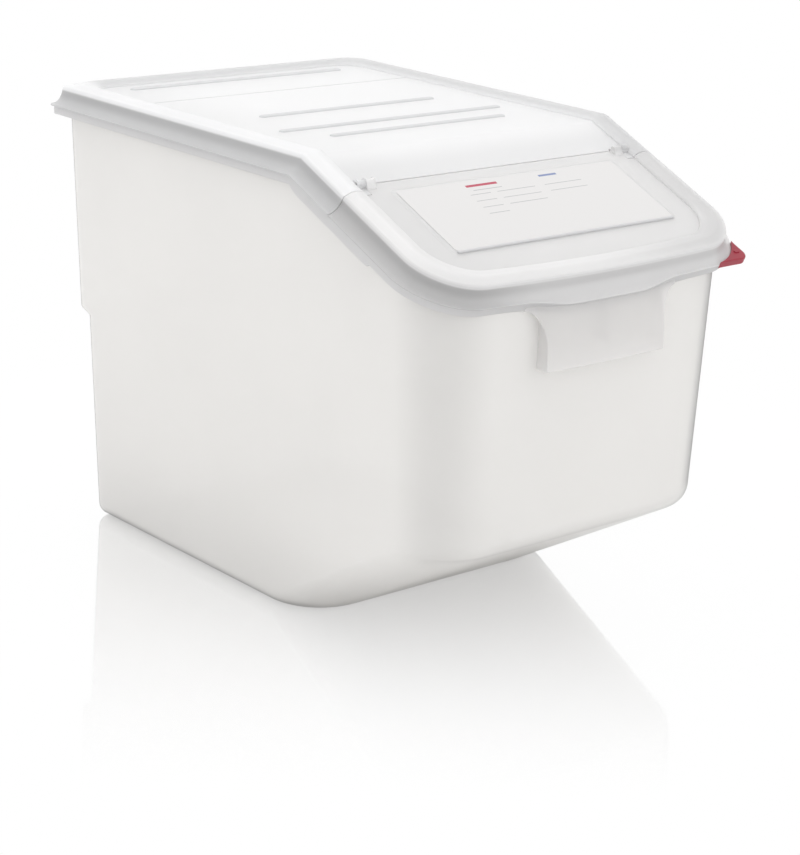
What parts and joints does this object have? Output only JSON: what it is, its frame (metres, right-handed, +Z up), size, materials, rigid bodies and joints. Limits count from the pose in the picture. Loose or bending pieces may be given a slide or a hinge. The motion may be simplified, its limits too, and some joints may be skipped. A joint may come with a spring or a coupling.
{
  "type": "rice bin with flip lid",
  "caption": "Translucent sloping-front ingredient bin with a lift-off rear lid, a hinged flip-up front flap, a write-on label, a pull handle and a colour clip.",
  "frame": {"origin": "middle of the overall footprint, at the floor", "axes": "+X to the right of someone facing the front, -Y out of the front, +Z up"},
  "size_m": [0.4, 0.604, 0.4521],
  "materials": {
    "frosted_body": "frosted translucent polypropylene",
    "frosted_lid": "smooth translucent polypropylene",
    "clear_flap": "smooth translucent polypropylene",
    "label_film": "matt write-on film",
    "crimson_clip": "satin"
  },
  "bodies": {
    "bin": {"bin_body": "frosted_body"},
    "lid": {"rear_lid": "frosted_lid"},
    "flap": {"front_flap": "clear_flap", "label_sheet": "label_film"},
    "clip": {"colour_clip": "crimson_clip"}
  },
  "joints": [
    {"name": "lid_lift", "type": "slide", "parent": "bin", "child": "lid", "axis": [0, 0, 1], "range_m": [0, 0.13]},
    {"name": "flap_hinge", "type": "hinge", "parent": "lid", "child": "flap", "pos_m": [0, -0.1455, 0.42798], "axis": [-1, 0, 0], "range_deg": [0, 130]},
    {"name": "clip_pull", "type": "slide", "parent": "flap", "child": "clip", "axis": [0.7071, -0.6494, -0.2797], "range_m": [0, 0.03]}
  ]
}
